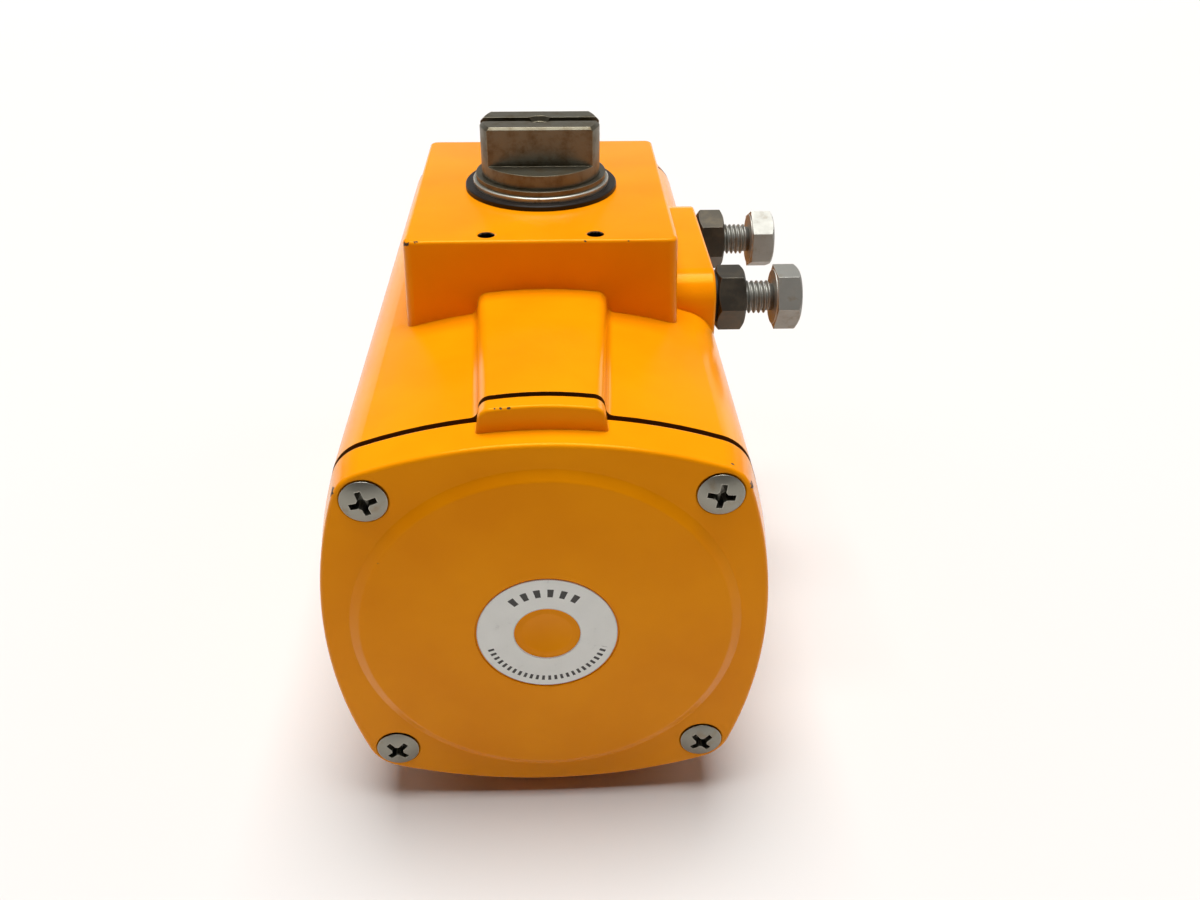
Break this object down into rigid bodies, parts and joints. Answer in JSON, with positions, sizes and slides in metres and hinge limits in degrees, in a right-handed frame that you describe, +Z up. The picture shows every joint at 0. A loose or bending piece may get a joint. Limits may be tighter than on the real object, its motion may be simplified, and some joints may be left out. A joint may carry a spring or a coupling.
{
  "type": "rotary pneumatic actuator",
  "caption": "Quarter-turn rack-and-pinion pneumatic actuator: orange barrel with screwed end caps, top block with flatted drive shaft, and side stop bolts with lock nuts.",
  "frame": {"origin": "centre of the bottom mounting face, on the drive axis", "axes": "+Z up along the drive axis, +Y along the cylinder, +X towards the travel-stop bolts"},
  "size_m": [0.1352, 0.2308, 0.161],
  "materials": {
    "orange_paint": "glossy orange polyester paint on aluminium",
    "plated_shaft_steel": "dark plated steel with wear",
    "spring_steel": "phosphated spring steel",
    "washer_steel": "stainless steel, worn",
    "black_polymer": "black acetal",
    "bearing_polymer": "natural acetal",
    "seal_rubber": "nitrile rubber",
    "screw_steel": "stainless steel",
    "label_silver": "satin silver film",
    "cast_aluminium": "die-cast aluminium",
    "bolt_steel": "worn stainless steel",
    "nut_steel": "dark worn steel"
  },
  "bodies": {
    "housing": {"housing": "orange_paint", "end_cap_front": "orange_paint", "end_cap_rear": "orange_paint", "cap_o_ring_front": "seal_rubber", "cap_o_ring_rear": "seal_rubber", "air_duct_seal_front": "seal_rubber", "air_duct_seal_rear": "seal_rubber", "cap_screws_front": "screw_steel", "cap_screws_rear": "screw_steel", "cap_label_front": "label_silver", "cap_label_rear": "label_silver", "upper_bearing": "bearing_polymer", "thrust_ring": "black_polymer", "stop_seal_front": "seal_rubber", "stop_seal_rear": "seal_rubber"},
    "pinion": {"pinion_shaft": "plated_shaft_steel", "stop_cam": "plated_shaft_steel", "retaining_ring": "spring_steel", "thrust_washer": "washer_steel", "lower_bearing": "bearing_polymer", "shaft_o_ring_upper": "seal_rubber", "shaft_o_ring_lower": "seal_rubber"},
    "piston_front": {"piston_front": "cast_aluminium", "piston_o_ring_front": "seal_rubber", "piston_guide_band_front": "bearing_polymer", "rack_shoe_front": "bearing_polymer"},
    "stop_bolt_front": {"stop_bolt_front": "bolt_steel"},
    "lock_nut_front": {"lock_nut_front": "nut_steel"},
    "piston_rear": {"piston_rear": "cast_aluminium", "piston_o_ring_rear": "seal_rubber", "piston_guide_band_rear": "bearing_polymer", "rack_shoe_rear": "bearing_polymer"},
    "stop_bolt_rear": {"stop_bolt_rear": "bolt_steel"},
    "lock_nut_rear": {"lock_nut_rear": "nut_steel"}
  },
  "joints": [
    {"name": "pinion_turn", "type": "hinge", "parent": "housing", "child": "pinion", "pos_m": [0, 0, 0], "axis": [0, 0, 1], "range_deg": [0, 90]},
    {"name": "piston_front_slide", "type": "slide", "parent": "housing", "child": "piston_front", "axis": [0, -1, 0], "range_m": [0, 0.0283]},
    {"name": "piston_rear_slide", "type": "slide", "parent": "housing", "child": "piston_rear", "axis": [0, 1, 0], "range_m": [0, 0.0283]},
    {"name": "stop_bolt_front_adjust", "type": "slide", "parent": "housing", "child": "stop_bolt_front", "axis": [1, 0, 0], "range_m": [0, 0.004]},
    {"name": "lock_nut_front_travel", "type": "slide", "parent": "housing", "child": "lock_nut_front", "axis": [1, 0, 0], "range_m": [0, 0.008]},
    {"name": "stop_bolt_rear_adjust", "type": "slide", "parent": "housing", "child": "stop_bolt_rear", "axis": [1, 0, 0], "range_m": [0, 0.004]},
    {"name": "lock_nut_rear_travel", "type": "slide", "parent": "housing", "child": "lock_nut_rear", "axis": [1, 0, 0], "range_m": [0, 0.008]}
  ],
  "couplings": [
    {"joint": "piston_front_slide", "follows": "pinion_turn", "m_per_rad": 0.018},
    {"joint": "piston_rear_slide", "follows": "pinion_turn", "m_per_rad": 0.018}
  ]
}
